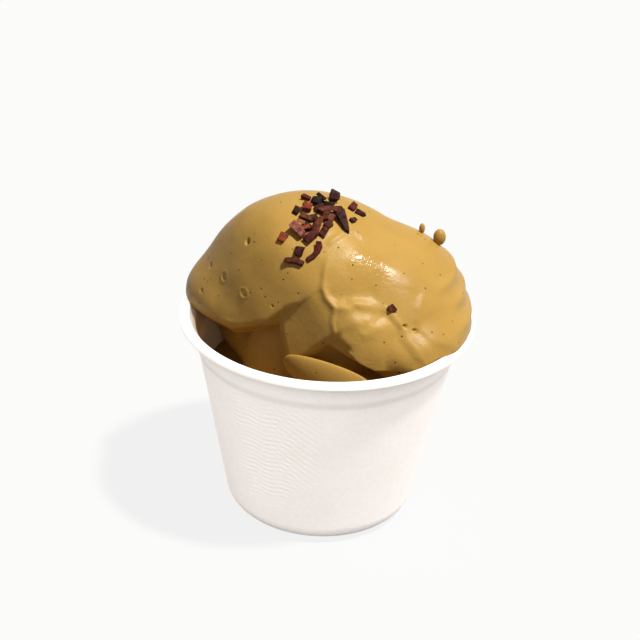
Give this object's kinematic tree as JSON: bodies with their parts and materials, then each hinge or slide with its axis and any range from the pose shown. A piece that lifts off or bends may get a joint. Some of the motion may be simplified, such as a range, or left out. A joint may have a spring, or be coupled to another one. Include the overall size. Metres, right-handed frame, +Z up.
{
  "type": "sorbet in a paper cup",
  "caption": "Caramel-brown sorbet spread in two large scoops over a filled white moulded-pulp cup, with a hollow at the front left and cacao nibs on top.",
  "frame": {"origin": "middle of the cup's flat base, on the surface it stands on", "axes": "+Z up along the cup's axis, the front of the serving with its hollow at the left faces -Y, +X to the right of that view"},
  "size_m": [0.08, 0.08, 0.0924],
  "materials": {
    "pulp": "moulded plant-fibre pulp, white, matt, with a faint wire-mesh press mark",
    "sorbet": "smooth caramel-brown frozen cream with a wet sheen, pin-hole pits and fine dark specks; the cacao nibs fused to it are dark red-brown"
  },
  "bodies": {
    "root": {"cup": "pulp", "sorbet": "sorbet"}
  },
  "joints": []
}
